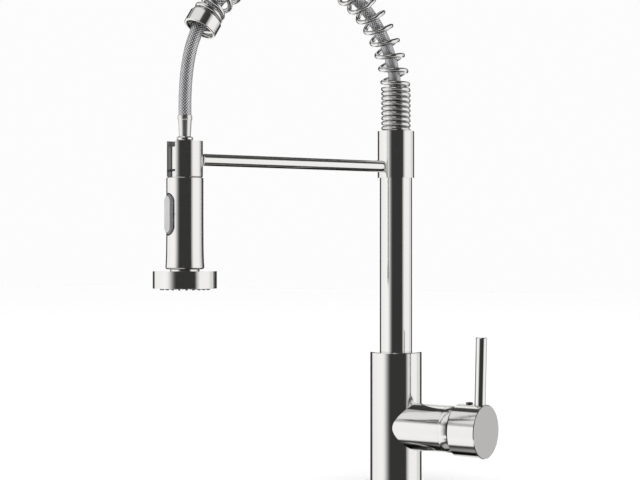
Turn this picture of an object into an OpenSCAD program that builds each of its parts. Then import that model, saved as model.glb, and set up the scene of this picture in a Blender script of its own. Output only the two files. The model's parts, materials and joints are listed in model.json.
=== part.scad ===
// Pull-down kitchen faucet with a coil-spring neck, in millimetres.
// The origin is the middle of the deck seat. +Z is up and the side branch with its lever lies along +X.
// The spout is swivelled away from square-on to the branch, as spout_turn says.

/* [Body] */
// Diameter of the round body
body_d = 50; // [44:0.5:60]
// Height of the body's top edge above the deck
body_top = 130; // [125:1:160]
// Width of the chamfer round the body's top edge
body_chamfer = 0.8; // [0.3:0.1:1.2]
// Diameter of the side branch
branch_d = 45.8; // [45:0.2:56]
// Height of the branch axis above the deck
branch_z = 58.5; // [48:0.5:62]
// Distance from the body axis to the branch's open end
branch_end = 59.4; // [58:0.2:75]

/* [Base] */
// Diameter of the flange ring under the body
flange_d = 57; // [54:0.5:80]
// Height of the flange ring
flange_h = 5.5; // [5:0.5:10]
// Thread diameter of the hollow shank
shank_d = 33; // [32:0.5:34]
// Bore of the hollow shank
shank_bore_d = 27; // [26:0.5:28]
// Length of shank below the deck
shank_drop = 50; // [45:1:65]
// Thickness of the deck that the clamp parts are set for
deck_t = 20; // [3:0.5:26]

/* [Handle] */
// Diameter of the handle cap
cap_d = 50.8; // [49.5:0.2:62]
// Distance from the body axis to the cap's rear edge
cap_start = 71.1; // [70.5:0.1:74]
// Distance from the body axis to the cap's end face
cap_end = 98.7; // [96.5:0.1:104]
// Diameter of the lever rod
lever_d = 10.4; // [7:0.2:12.4]
// Distance from the body axis to the lever rod
lever_x = 91.5; // [90:0.1:92]
// Height of the lever's tip above the deck
lever_top = 146.8; // [120:0.2:175]
// Outward lean of the lever rod, in degrees
lever_lean = 1.4; // [0:0.1:2]

/* [Spout column] */
// Turn of the spout from square-on to the branch, in degrees
spout_turn = 23; // [-60:1:60]
// Diameter of the column tube
column_d = 31.4; // [30:0.2:34]
// Wall of the column tube
column_wall = 1.5; // [1.2:0.1:2]
// Diameter of the collar
collar_d = 35.5; // [34.8:0.1:40]
// Height of the collar's lower edge
collar_base = 298.2; // [250:0.2:360]
// Height of the collar
collar_h = 45.3; // [38:0.1:55]
// Distance from the column axis to the spray head axis
reach = 230; // [185:1:276]
// Diameter of the docking arm
arm_d = 11.4; // [9:0.2:14]

/* [Docking cup] */
// Outer diameter of the cup
cup_d = 32; // [31:0.2:38]
// Wall of the cup and of its top plate
cup_wall = 3.6; // [3:0.1:3.8]
// Height of the cup
cup_h = 32; // [27:0.5:38]
// Width of the slot that lets the hose out
slot_w = 16; // [15.4:0.1:18]

/* [Spring neck] */
// Outer diameter of the spring
spring_d = 28.7; // [27.7:0.1:34]
// Diameter of the spring wire
wire_d = 4.5; // [3.6:0.1:4.7]
// Turns wound close above the collar
close_turns = 8.5; // [6:0.1:11]
// Turns wound open over the arch
open_turns = 19; // [16:1:22]
// Turns wound close at the end cap
end_turns = 4; // [3:0.5:5]
// Angle above level at which the arch reaches its end cap, in degrees
cap_angle = 31.7; // [25:0.1:40]
// Outer diameter of the end cap
end_cap_d = 30.8; // [30.2:0.1:36]
// Length of the end cap
end_cap_h = 12; // [10:0.5:16]
// Diameter of the braided hose
hose_d = 11.4; // [9.5:0.1:11.6]

/* [Spray head] */
// Diameter of the head at its top
head_d = 33; // [33:0.1:36]
// Diameter of the head where it flares out at the bottom
head_flare_d = 34.6; // [34:0.1:38]
// Length of the head shell
head_h = 81.4; // [76:0.2:95]
// Diameter of the spray disc
disc_d = 57; // [52:0.2:69]
// Height of the spray disc
disc_h = 15.4; // [12:0.2:18]
// Height of the toggle button
button_h = 35.8; // [30:0.2:40]
// Width of the toggle button
button_w = 14; // [12:0.2:15]

/* [Fits] */
// Clearance all round where two fixed pieces nest
joint_gap = 0.03; // [0.02:0.01:0.1]
// Clearance all round where a piece turns or slides in another
run_gap = 0.05; // [0.03:0.01:0.1]
// Gap between moving pieces that only pass each other
free_gap = 0.4; // [0.3:0.05:0.6]

/* [Hidden] */
$fn = 96;
through = 1;

// Colours
steel_colour = "#c4c2be";
brass_colour = "#b9975b";
rubber_colour = "#2b2b2b";
plastic_colour = "#e6e4de";
hose_colour = "#8f8f8f";

// Body and base
body_r = body_d / 2;
branch_r = branch_d / 2;
flange_floor = 3;
flange_round = 1.5;
gasket_h = 1.5;
gasket_w = 5;
shank_r = shank_d / 2;
gasket_r = shank_r + 3;
shank_bore_r = shank_bore_d / 2;
shank_seat_z = 20;
inlet_floor_z = 22;
inlet_r = 4.5;
inlet_depth = 12;
inlet_y = 7.5;
washer_r = 30;
deck_washer_t = 3;
clamp_washer_t = 2;
washer_slack = 0.3;
nut_top = -deck_t - deck_washer_t - clamp_washer_t;
nut_flange_r = 29;
nut_flange_t = 7;
nut_step_z = nut_top - nut_flange_t;
nut_hex_r = 24;
nut_hex_t = 7;
jack_screw_r = 2.5;
jack_screw_y = 24.9;
jack_head_r = 3.8;
jack_head_t = 3;
jack_head_z = nut_step_z - 4;
jack_slot = [1, 6, 2.4];

// Swivel of the column in the body
column_r = column_d / 2;
column_bore_r = column_r - column_wall;
spigot_r = 12;
spigot_base_z = body_top - 50;
foot_step_z = body_top - 34;
tube_base_z = body_top - 22;
foot_bore_r = 6;
foot_rest = 0.3;
plug_top_z = tube_base_z + 12;
column_room_r = column_r + 3 * run_gap;
bush_wall = 2.3;
bush_h = 6;
bush_z = [body_top - 19.5, body_top - 10.5];
lock_z = body_top - 28;
lock_groove_r = column_r - 2;
lock_groove_h = 5.6;
lock_screw_r = 2.5;
lock_screw_sink = 1;
lock_key = [1.4, 3];
ring_wire_r = 0.85;
ring_groove_h = 2.2;
ring_z = [spigot_base_z + 5, spigot_base_z + 11];

// Cartridge, measured along the branch from the body axis
pivot_x = 62;
case_base = 30;
case_r = 17.5;
case_shoulder = 54;
neck_r = 15.4;
neck_end = 66;
chamber_r = 15.2;
chamber_floor = 35;
chamber_end = 51.6;
neck_bore_r = 12.8;
nut_thread_r = 19.8;
spanner_notch = [2.4, 3, 4];
seal_h = 1.6;
seal_r = 4.2;
port_r = [2.6, 2.6, 3.2];
port_at = [[6, inlet_y], [6, -inlet_y], [-8, 0]];
fixed_disc_t = 4;
disc_back = chamber_floor + fixed_disc_t;
moving_disc_r = 10.5;
moving_disc_t = 5;
driver_t = 5.4;
driver_r = 8.4;
disc_start = 2.85;
tail_reach = 14;
tail_ball_r = 2.4;
tail_pocket = 5.7;
stem_w = 8;
stem_end = 88;
stem_back = 56;
stem_pin_r = 1.5;
stem_pin_half = neck_bore_r - 0.6;
stem_slack = 0.2;
tail_r = 1.9;
carrier_flange_r = 15;
carrier_flange_t = 1.4;
carrier_back = 50.1;
slot_low = 6.4;
slot_high = 7.9;

// Trim ring and handle
dome_r = sqrt(pow(branch_r, 2) + pow(pivot_x - branch_end, 2));
dome_end = 68.2;
dome_wall = 2;
cap_r = cap_d / 2;
cap_wall = 1.7;
cap_floor = 77.6;
cap_chamfer = 0.7;
socket_gap = 0.05;
screw_x = 80.9;
screw_head_r = 3.3;
screw_shank_r = 2.4;
screw_proud = 1.6;
screw_head_depth = 3;
screw_key_r = 1.5;
screw_key_depth = 2.5;
lever_r = lever_d / 2;
lever_root = 9;
lever_chamfer = 0.6;

// Collar and the fittings at the top of the column
collar_r = collar_d / 2;
collar_top = collar_base + collar_h;
plate_t = 3.2;
tube_top = collar_top - plate_t - joint_gap;
fitting_h = 22;
boss_h = 14;
boss_neck_r = 8;
boss_thread_r = 6.5;
boss_thread_h = 12;
boss_bore_r = 3;
nipple_r = 3.8;
nipple_h = 8;
hose_start = collar_top + boss_h + nipple_h;
ferrule_r = 7.4;
ferrule_h = 18;
collar_screw_z = 8;
collar_screw_r = 2;
collar_screw_sink = 0.2;
collar_key = [1.1, 1];

// Docking arm and cup
cup_r = cup_d / 2;
cup_bore_r = cup_r - cup_wall;
arm_z = collar_base + 10.8;
cup_base = arm_z - cup_h / 2;
cup_top = cup_base + cup_h;
cup_fillet = 1.8;
arm_r = arm_d / 2;
arm_flare = 1.6;
arm_nest = 2;
arm_seat = 0.1;

// Spring and hose
wire_r = wire_d / 2;
coil_steps = 12;
coil_r = spring_d / 2 - wire_r;
boss_r = coil_r * cos(180 / coil_steps) - wire_r - 0.1;
close_pitch = wire_d + 0.33;
arch_r = reach / 2 - 2;
arch_z = collar_top + 33;
arch_end_s = arch_z - collar_top + arch_r * (180 - cap_angle) * PI / 180;
end_cap_wall = 0.9;
end_cap_lip = 1.5;
end_cap_mouth_r = 13.3;
spring_start_s = wire_r + 0.05;
spring_end_s = arch_end_s + end_cap_h - end_cap_lip - wire_r - 0.4;
all_turns = close_turns + open_turns + end_turns;
opening_turns = 0.8;
coil_phase = 32;
wire_sides = 6;
hose_sides = 10;
hose_r = hose_d / 2;
hose_leave_angle = cap_angle + 4;
hose_arch_step = 12;
hose_arch_rings = floor((180 - hose_leave_angle) / hose_arch_step - 0.5);
hose_seat = 4;
// Free end of the hose: steps from the head axis and heights above the crimp sleeve, chosen by hand
hose_free = [[-13, 78], [-9.4, 70], [-6.2, 61], [-3.6, 50], [-1.7, 38], [-0.5, 25], [0, 12], [0, -hose_seat]];

// Spray head, with heights measured from the cup
nut_r = 7.3;
nut_bore_r = 5.6;
nut_lip_r = 4.4;
nut_h = 8.2;
nut_lip_t = 2.6;
neck_top = cup_top - cup_wall - free_gap;
nut_base = neck_top + 0.3;
nipple_top = nut_base + 3;
washer_t = 0.8;
sleeve_base = nut_base + nut_h;
sleeve_cone_h = 14;
sleeve_low_r = 5.1;
sleeve_high_r = 5.9;
sleeve_band_r = 6.2;
sleeve_band_h = 4.4;
sleeve_top = sleeve_base + sleeve_cone_h + sleeve_band_h;
sleeve_stem_r = nut_bore_r - 0.2;
head_neck_r = cup_bore_r - free_gap;
neck_chamfer = 1.2;
neck_ring_r = 0.9;
neck_groove_r = head_neck_r - 1.6;
neck_ring_z = cup_base + 6;
neck_wall = 2.5;
head_r = head_d / 2;
head_flare_r = head_flare_d / 2;
shell_top = cup_base - 0.3;
shell_base = shell_top - head_h;
shell_wall = 2;
shell_round = 1.5;
flare_h = 16;
flare_round = 2;
flare_mid = 0.35;
flare_start = 0.2;
shell_bore_r = head_r - shell_wall;
neck_flange_r = head_neck_r + 1.4;
neck_flange_h = 11;
lip_t = 2;
disc_r = disc_d / 2;
disc_gap = 1.5;
disc_top = shell_base - disc_gap;
disc_base = disc_top - disc_h;
disc_wall = 2;
disc_roof = 2.8;
disc_neck_r = 13;
disc_spigot_h = 9;
disc_bore_r = 10.5;
chamber_out_r = 11.6;
chamber_low = shell_base + 11;
chamber_high = shell_top - lip_t - neck_flange_h - 0.3;
chamber_in_r = 6;
chamber_air_r = 8;
chamber_link_r = 2.5;
chamber_air_top = 16;
valve_r = 5.4;
valve_h = 10;
valve_bore_r = 2;
valve_base = neck_top - 14;
valve_rest = 2;
nozzle_plate_t = 3;
nozzle_face = disc_base + 0.5;
nozzle_drop = 1.8;
nozzle_r = [1.3, 0.8];
nozzle_rows = [[11.5, 10], [16.5, 16], [21.4, 22]];
aerator_r = 7.6;
aerator_h = 9;
aerator_rim = 1.2;
aerator_hole_at = 4;
aerator_hole_r = 1.1;

// Toggle button on the outer side of the head
button_z = shell_top - 32.7;
button_gap = 1;
button_face_r = 17.9;
button_edge_r = 16.5;
button_back_r = 15.2;
button_bevel = 1.75;
button_rise = button_face_r - button_edge_r;
pin_x = 13;
pin_r = 1;
pin_half = 9.4;
boss_half_w = 4.5;
boss_half_h = 2.4;
boss_back = 12;
plunger_r = 2;
plunger_drop = 11;
plunger_back = 3;
plunger_gap = 0.2;
plunger_room = 6;

// Arch and hose route worked out from the sizes above
extra_pitch = (spring_end_s - spring_start_s - close_pitch * all_turns) / spread(all_turns);
hose_path = concat([[0, hose_start], [0, arch_z]],
    [for (k = [1:hose_arch_rings]) arch_point(180 - hose_arch_step * k)],
    [arch_point(hose_leave_angle)],
    [for (p = hose_free) [reach + p[0], sleeve_top + p[1]]]);
hose_last = len(hose_path) - 1;

// ---- Helpers ----

// Places a child on the branch: its +Z runs along the branch
module on_branch() {
    translate([0, 0, branch_z]) rotate([0, 90, 0]) children();
}

// Places a child in the spout's frame: its +X runs along the docking arm
module on_spout() {
    rotate([0, 0, -90 - spout_turn]) children();
}

// Places a child on the spray head axis
module on_head() {
    on_spout() translate([reach, 0, 0]) children();
}

// Round rod from height low to high
module rod(low, high, r) {
    translate([0, 0, low]) cylinder(h = high - low, r = r);
}

// Round rod whose radius changes from r_low to r_high
module cone(low, high, r_low, r_high) {
    translate([0, 0, low]) cylinder(h = high - low, r1 = r_low, r2 = r_high);
}

// Round ring with a plain bore
module ring(low, high, r_out, r_in) {
    difference() {
        rod(low, high, r_out);
        rod(low - through, high + through, r_in);
    }
}

// O-ring lying at height z
module o_ring(z, r, wire) {
    translate([0, 0, z]) rotate_extrude() translate([r, 0]) circle(r = wire);
}

// Closed skin over a list of rings of points, each ring turning the same way
module skin(rings) {
    sides = len(rings[0]);
    last = len(rings) - 1;
    points = [for (one = rings) each one];
    walls = [for (i = [0:last - 1], j = [0:sides - 1])
        let (a = i * sides + j, b = i * sides + (j + 1) % sides, c = b + sides, d = a + sides)
        each [[a, b, c], [a, c, d]]];
    low_end = [for (j = [sides - 1:-1:0]) j];
    high_end = [for (j = [0:sides - 1]) last * sides + j];
    polyhedron(points = points, faces = concat(walls, [low_end], [high_end]));
}

// Arch centreline in the spout's upright plane, s millimetres above the collar: [x, z, slope]
function arch(s) =
    s < arch_z - collar_top ? [0, collar_top + s, 90]
    : s < arch_end_s
        ? let (a = 180 - (s - arch_z + collar_top) / arch_r * 180 / PI)
            [arch_r + arch_r * cos(a), arch_z + arch_r * sin(a), a - 90]
        : let (d = s - arch_end_s)
            [arch_r + arch_r * cos(cap_angle) + d * sin(cap_angle),
             arch_z + arch_r * sin(cap_angle) - d * cos(cap_angle), cap_angle - 90];

// Soft start: 0 before 0, then rising to a straight line over opening_turns
function ramp(u) = u <= 0 ? 0 : u < opening_turns ? u * u / (2 * opening_turns) : u - opening_turns / 2;
function spread(n) = ramp(n - close_turns) - ramp(n - close_turns - open_turns);
function coil_s(n) = spring_start_s + close_pitch * n + extra_pitch * spread(n);

// One ring of points round the wire at turn n of the left-hand coil
function wire_ring(n) =
    let (c = arch(coil_s(n)), turn = coil_phase - 360 * n,
         up = [cos(c[2]), 0, sin(c[2])], side = [sin(c[2]), 0, -cos(c[2])],
         out = cos(turn) * side + sin(turn) * [0, 1, 0])
    [for (j = [0:wire_sides - 1]) let (a = 360 * j / wire_sides)
        [c[0], 0, c[1]] + (coil_r + wire_r * cos(a)) * out + wire_r * sin(a) * up];

// Point on the arch's centreline at an angle above level
function arch_point(a) = [arch_r + arch_r * cos(a), arch_z + arch_r * sin(a)];

// One ring of points round the hose at route point i
function hose_ring(i) =
    let (p = hose_path[i], a = hose_path[max(i - 1, 0)], b = hose_path[min(i + 1, hose_last)],
         way = i == 0 || i == hose_last ? [0, sign(b[1] - a[1])] : (b - a) / norm(b - a),
         side = [way[1], 0, -way[0]])
    [for (j = [0:hose_sides - 1]) let (t = 360 * j / hose_sides)
        [p[0], 0, p[1]] + hose_r * (cos(t) * side + sin(t) * [0, 1, 0])];

// Flat shape with round ends, long along its second axis
module stadium(w, h) {
    square([w, h - w], center = true);
    translate([0, (h - w) / 2]) circle(d = w);
    translate([0, (w - h) / 2]) circle(d = w);
}

// ---- Body and base ----

module faucet_body() color(steel_colour) difference() {
    union() {
        rod(flange_floor + joint_gap, body_top - body_chamfer, body_r);
        cone(body_top - body_chamfer, body_top, body_r, body_r - body_chamfer);
        on_branch() rod(0, branch_end, branch_r);
    }
    rod(0, shank_seat_z, shank_r + joint_gap);
    rod(0, inlet_floor_z, shank_bore_r);
    for (side = [-1, 1]) translate([0, side * inlet_y, 0]) {
        rod(inlet_floor_z - through, inlet_floor_z + inlet_depth, inlet_r);
        rod(inlet_floor_z, branch_z - port_at[0][0], port_r[0]);
    }
    rod(foot_step_z, body_top + through, column_room_r);
    for (z = bush_z) rod(z, z + bush_h, column_r + bush_wall + joint_gap);
    rod(spigot_base_z - through, foot_step_z + through, spigot_r + run_gap);
    rod(branch_z - port_at[2][0], spigot_base_z, foot_bore_r);
    on_branch() {
        rod(case_base, case_shoulder + through, case_r + joint_gap);
        rod(case_shoulder, branch_end + through, nut_thread_r + joint_gap);
        port_holes(0, case_base + through);
    }
    translate([0, 0, lock_z]) rotate([-90, 0, 0])
        rod(column_r - lock_screw_sink, body_r + through, lock_screw_r + joint_gap);
}

module base_flange() color(steel_colour) difference() {
    union() {
        rod(0, flange_h - flange_round, flange_d / 2);
        rod(0, flange_h, flange_d / 2 - flange_round);
        o_ring(flange_h - flange_round, flange_d / 2 - flange_round, flange_round);
    }
    rod(-through, flange_h + through, shank_r + joint_gap);
    rod(flange_floor, flange_h + through, body_r + joint_gap);
    ring(-through, gasket_h, gasket_r + gasket_w + joint_gap, gasket_r - joint_gap);
}

module base_gasket() color(rubber_colour)
    ring(0, gasket_h - joint_gap, gasket_r + gasket_w, gasket_r);

module shank() color(brass_colour)
    ring(-shank_drop, shank_seat_z - joint_gap, shank_r, shank_bore_r);

module deck_washer() color(rubber_colour)
    ring(-deck_t - deck_washer_t, -deck_t, washer_r, shank_r + washer_slack);

module clamp_washer() color(steel_colour)
    ring(nut_top, -deck_t - deck_washer_t, washer_r, shank_r + washer_slack);

module mounting_nut() color(brass_colour) difference() {
    union() {
        rod(nut_step_z, nut_top, nut_flange_r);
        translate([0, 0, nut_step_z - nut_hex_t])
            cylinder(h = nut_hex_t + through, r = nut_hex_r, $fn = 6);
    }
    rod(nut_step_z - nut_hex_t - through, nut_top + through, shank_r + joint_gap);
    for (side = [-1, 1]) translate([0, side * jack_screw_y, 0])
        rod(nut_step_z - through, nut_top + through, jack_screw_r + joint_gap);
}

module nut_screws() color(steel_colour)
    for (side = [-1, 1]) translate([0, side * jack_screw_y, 0]) difference() {
        union() {
            rod(jack_head_z, nut_top, jack_screw_r);
            rod(jack_head_z - jack_head_t, jack_head_z, jack_head_r);
        }
        translate([0, 0, jack_head_z - jack_head_t]) cube(jack_slot, center = true);
    }

module swivel_bushes() color(plastic_colour)
    for (z = bush_z)
        ring(z + joint_gap, z + bush_h - joint_gap, column_r + bush_wall, column_r + run_gap);

module spout_lock_screw() color(steel_colour)
    translate([0, 0, lock_z]) rotate([-90, 0, 0]) difference() {
        rod(lock_groove_r + foot_rest, body_r - lock_screw_sink, lock_screw_r);
        translate([0, 0, body_r - lock_screw_sink - lock_key[1]])
            cylinder(h = lock_key[1] + through, r = lock_key[0], $fn = 6);
    }

// ---- Cartridge in the branch ----

module port_holes(low, high) {
    for (k = [0:2]) translate([port_at[k][0], port_at[k][1], 0]) rod(low, high, port_r[k]);
}

module cartridge_case() color(plastic_colour) on_branch() difference() {
    union() {
        rod(case_base + joint_gap, case_shoulder - joint_gap, case_r);
        rod(case_shoulder - through, neck_end, neck_r);
    }
    rod(chamber_floor, chamber_end, chamber_r);
    rod(chamber_end - through, neck_end + through, neck_bore_r);
    port_holes(case_base - through, chamber_floor + through);
    for (at = port_at) translate([at[0], at[1], 0])
        rod(case_base - through, case_base + seal_h, seal_r + joint_gap);
}

module cartridge_seals() color(rubber_colour) on_branch()
    for (k = [0:2]) translate([port_at[k][0], port_at[k][1], 0])
        ring(case_base, case_base + seal_h - joint_gap, seal_r, port_r[k]);

module fixed_disc() color("#f2f0ea") on_branch() difference() {
    rod(chamber_floor + joint_gap, disc_back, chamber_r - joint_gap);
    port_holes(chamber_floor - through, disc_back + through);
}

module cartridge_nut() color(brass_colour) on_branch() difference() {
    ring(case_shoulder, branch_end - joint_gap, nut_thread_r, neck_r + joint_gap);
    for (turn = [0:90:270]) rotate([0, 0, turn]) translate([(nut_thread_r + neck_r) / 2, 0, branch_end])
        cube(spanner_notch, center = true);
}

module trim_ring() color(steel_colour) on_branch() difference() {
    intersection() {
        translate([0, 0, pivot_x]) sphere(r = dome_r);
        rod(branch_end + joint_gap, dome_end, dome_r + through);
    }
    translate([0, 0, pivot_x]) sphere(r = dome_r - dome_wall);
    rod(branch_end - through, dome_end + through, neck_r + 1);
}

module stem_carrier() color(plastic_colour) on_branch() difference() {
    union() {
        rod(carrier_back, carrier_back + carrier_flange_t, carrier_flange_r);
        rod(carrier_back, neck_end, neck_bore_r - run_gap);
    }
    translate([-slot_high, -stem_w / 2 - stem_slack, carrier_back - through])
        cube([slot_low + slot_high, stem_w + 2 * stem_slack, neck_end]);
    translate([0, 0, pivot_x]) rotate([90, 0, 0])
        rod(-neck_bore_r, neck_bore_r, stem_pin_r + joint_gap);
}

module stem_pin() color(steel_colour) on_branch()
    translate([0, 0, pivot_x]) rotate([90, 0, 0]) rod(-stem_pin_half, stem_pin_half, stem_pin_r);

module moving_disc() color("#dcdad2") on_branch() translate([disc_start, 0, 0]) difference() {
    union() {
        rod(disc_back + run_gap, disc_back + moving_disc_t, moving_disc_r);
        rod(disc_back + moving_disc_t - through, disc_back + moving_disc_t + driver_t, driver_r);
    }
    translate([-disc_start - tail_pocket / 2, -tail_pocket / 2, disc_back + moving_disc_t])
        cube([tail_pocket, tail_pocket, driver_t + through]);
}

module cartridge_stem() color(brass_colour) on_branch() difference() {
    union() {
        translate([-stem_w / 2, -stem_w / 2, stem_back]) cube([stem_w, stem_w, stem_end - stem_back]);
        rod(pivot_x - tail_reach, stem_back + through, tail_r);
        translate([0, 0, pivot_x - tail_reach]) sphere(r = tail_ball_r);
    }
    translate([0, 0, pivot_x]) rotate([90, 0, 0]) rod(-stem_w, stem_w, stem_pin_r + run_gap);
}

// ---- Handle ----

// Leaning line of the lever, measured out from the branch axis
module on_lever() {
    translate([lever_x, 0, branch_z]) rotate([0, lever_lean, 0]) children();
}

module handle_cap() color(steel_colour) difference() {
    on_branch() difference() {
        union() {
            rod(cap_start, cap_end - cap_chamfer, cap_r);
            cone(cap_end - cap_chamfer, cap_end, cap_r, cap_r - cap_chamfer);
        }
        rod(cap_start - through, cap_floor, cap_r - cap_wall);
        translate([-stem_w / 2 - socket_gap, -stem_w / 2 - socket_gap, cap_floor - through])
            cube([stem_w + 2 * socket_gap, stem_w + 2 * socket_gap, stem_end - cap_floor + 2 * through]);
    }
    on_lever() rod(lever_root, cap_r + through, lever_r + joint_gap);
    translate([screw_x, 0, branch_z]) {
        rod(0, cap_r + through, screw_shank_r + joint_gap);
        rod(cap_r - screw_head_depth, cap_r + through, screw_head_r + joint_gap);
    }
}

module lever_rod() color(steel_colour) on_lever() {
    rod(lever_root, lever_top - branch_z - lever_chamfer, lever_r);
    cone(lever_top - branch_z - lever_chamfer, lever_top - branch_z, lever_r, lever_r - lever_chamfer);
}

module handle_screw() color(steel_colour) translate([screw_x, 0, branch_z]) difference() {
    union() {
        rod(stem_w / 2 + 2 * socket_gap, cap_r, screw_shank_r);
        rod(cap_r - screw_head_depth + joint_gap, cap_r + screw_proud, screw_head_r);
    }
    translate([0, 0, cap_r + screw_proud - screw_key_depth])
        cylinder(h = screw_key_depth + through, r = screw_key_r, $fn = 6);
}

// ---- Column, collar and docking arm ----

module column_tube() color(steel_colour) on_spout() ring(tube_base_z, tube_top, column_r, column_bore_r);

module column_foot() color(brass_colour) on_spout() difference() {
    union() {
        rod(spigot_base_z, foot_step_z + foot_rest + through, spigot_r);
        rod(foot_step_z + foot_rest, tube_base_z - joint_gap, column_r);
        rod(tube_base_z - through, plug_top_z, column_bore_r - joint_gap);
    }
    rod(spigot_base_z - through, plug_top_z + through, foot_bore_r);
    ring(lock_z - lock_groove_h / 2, lock_z + lock_groove_h / 2, column_r + through, lock_groove_r);
    for (z = ring_z) ring(z - ring_groove_h / 2, z + ring_groove_h / 2, spigot_r + through,
        spigot_r - 2 * ring_wire_r);
}

module foot_o_rings() color(rubber_colour) on_spout()
    for (z = ring_z) o_ring(z, spigot_r - ring_wire_r + joint_gap, ring_wire_r);

// Room for the docking arm where it enters a wall
module arm_room(r) {
    translate([0, 0, arm_z]) rotate([0, 90, 0]) rod(column_r - arm_nest - joint_gap, reach, r);
}

module column_collar() color(steel_colour) on_spout() difference() {
    rod(collar_base, collar_top, collar_r);
    rod(collar_base - through, collar_top - plate_t, column_r + joint_gap);
    rod(collar_base, collar_top + through, boss_neck_r + joint_gap);
    arm_room(arm_r + joint_gap);
    translate([0, 0, collar_base + collar_screw_z]) rotate([0, -90, 0])
        rod(column_r, collar_r + through, collar_screw_r + joint_gap);
}

module collar_screw() color(steel_colour) on_spout()
    translate([0, 0, collar_base + collar_screw_z]) rotate([0, -90, 0]) difference() {
        rod(column_r + arm_seat, collar_r - collar_screw_sink, collar_screw_r);
        translate([0, 0, collar_r - collar_screw_sink - collar_key[1]])
            cylinder(h = collar_key[1] + through, r = collar_key[0], $fn = 6);
    }

module top_fitting() color(brass_colour) on_spout() difference() {
    rod(tube_top - fitting_h, tube_top, column_bore_r - joint_gap);
    rod(tube_top - fitting_h - through, tube_top - boss_thread_h + through, boss_bore_r);
    rod(tube_top - boss_thread_h, tube_top + through, boss_thread_r + joint_gap);
}

module spring_boss() color(brass_colour) on_spout() difference() {
    union() {
        rod(tube_top - boss_thread_h + foot_rest, tube_top + through, boss_thread_r);
        rod(tube_top + joint_gap, collar_top + through, boss_neck_r);
        rod(collar_top + joint_gap, collar_top + boss_h, boss_r);
        rod(collar_top + boss_h - through, hose_start - joint_gap, nipple_r);
    }
    rod(tube_top - boss_thread_h - through, hose_start + through, boss_bore_r);
}

module lower_ferrule() color(steel_colour) on_spout()
    ring(collar_top + boss_h + joint_gap, collar_top + boss_h + ferrule_h, ferrule_r, hose_r + joint_gap);

module arm_rod() color(steel_colour) on_spout() difference() {
    union() {
        translate([0, 0, arm_z]) rotate([0, 90, 0])
            rod(column_r - arm_nest, reach - cup_bore_r + arm_nest, arm_r);
        translate([0, 0, arm_z]) rotate([0, 90, 0]) difference() {
            cone(reach - cup_r - arm_flare, reach - cup_r + through, arm_r, arm_r + arm_flare + through);
            rod(reach - cup_r + through / 2, reach, cup_r);
        }
    }
    rod(arm_z - arm_d, arm_z + arm_d, column_r + arm_seat);
    translate([reach, 0, 0]) rod(arm_z - arm_d, arm_z + arm_d, cup_bore_r + arm_seat);
    translate([reach, 0, 0]) difference() {
        rod(arm_z - arm_d, arm_z + arm_d, cup_r + joint_gap);
        translate([-reach, 0, arm_z]) rotate([0, 90, 0]) rod(0, reach, arm_r);
    }
}

module dock_cup() color(steel_colour) on_head() difference() {
    rod(cup_base, cup_top, cup_r);
    rod(cup_base - through, cup_top - cup_wall - cup_fillet, cup_bore_r);
    rod(cup_base, cup_top - cup_wall, cup_bore_r - cup_fillet);
    o_ring(cup_top - cup_wall - cup_fillet, cup_bore_r - cup_fillet, cup_fillet);
    rod(cup_base, cup_top + through, slot_w / 2);
    translate([0, -slot_w / 2, cup_base - through])
        cube([cup_r + through, slot_w, cup_h + 2 * through]);
    translate([-reach, 0, 0]) arm_room(arm_r + joint_gap);
}

// ---- Spring neck and hose ----

module neck_spring() color(steel_colour) on_spout()
    skin([for (k = [0:ceil(all_turns * coil_steps)]) wire_ring(min(k / coil_steps, all_turns))]);

module pull_hose() color(hose_colour) on_spout()
    skin([for (i = [0:hose_last]) hose_ring(i)]);

// Places a child on the arch's end: its +Z runs down out of the spring
module on_arch_end() {
    end = arch(arch_end_s);
    on_spout() translate([end[0], 0, end[1]]) rotate([0, 180 - cap_angle, 0]) children();
}

module spring_end_cap() color(steel_colour) on_arch_end() difference() {
    rod(0, end_cap_h, end_cap_d / 2);
    rod(-through, end_cap_h - end_cap_lip, end_cap_d / 2 - end_cap_wall);
    rod(0, end_cap_h + through, end_cap_mouth_r);
}

module crimp_sleeve() color(steel_colour) on_head() difference() {
    union() {
        rod(nipple_top + washer_t + run_gap, sleeve_base - nut_lip_t - joint_gap, sleeve_stem_r);
        rod(nipple_top + washer_t + run_gap, sleeve_base + through, nut_lip_r - joint_gap);
        cone(sleeve_base + joint_gap, sleeve_top - sleeve_band_h, sleeve_low_r, sleeve_high_r);
        rod(sleeve_top - sleeve_band_h - joint_gap, sleeve_top, sleeve_band_r);
    }
    rod(sleeve_top - hose_seat - joint_gap, sleeve_top + through, hose_r + joint_gap);
    rod(nipple_top, sleeve_top, boss_bore_r);
}

module hose_nut() color(steel_colour) on_head() difference() {
    rod(nut_base, sleeve_base, nut_r);
    rod(nut_base - through, sleeve_base - nut_lip_t, nut_bore_r);
    rod(nut_base, sleeve_base + through, nut_lip_r);
}

// ---- Spray head ----

// Turned outline of the head shell: round top corner, straight side, flare, round lower corner
module shell_outline() {
    difference() {
        union() {
            polygon([[0, shell_base], [head_flare_r - flare_round, shell_base],
                [head_flare_r, shell_base + flare_round],
                [head_flare_r - flare_mid, shell_base + flare_h / 2],
                [head_r + flare_start, shell_base + flare_h],
                [head_r, shell_top - shell_round], [0, shell_top - shell_round]]);
            square_from([0, shell_top - 2 * shell_round], [head_r - shell_round, shell_top]);
            translate([head_r - shell_round, shell_top - shell_round]) circle(r = shell_round);
            translate([head_flare_r - flare_round, shell_base + flare_round]) circle(r = flare_round);
        }
        square_from([-head_flare_r, shell_base - through], [0, shell_top + through]);
    }
}

module square_from(low, high) {
    translate(low) square(high - low);
}

// Stadium prism standing on the head's outer side at the button, from radius near to far
module button_slab(w, h, near, far) {
    translate([near, 0, button_z]) rotate([90, 0, 90]) linear_extrude(far - near) stadium(w, h);
}

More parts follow.
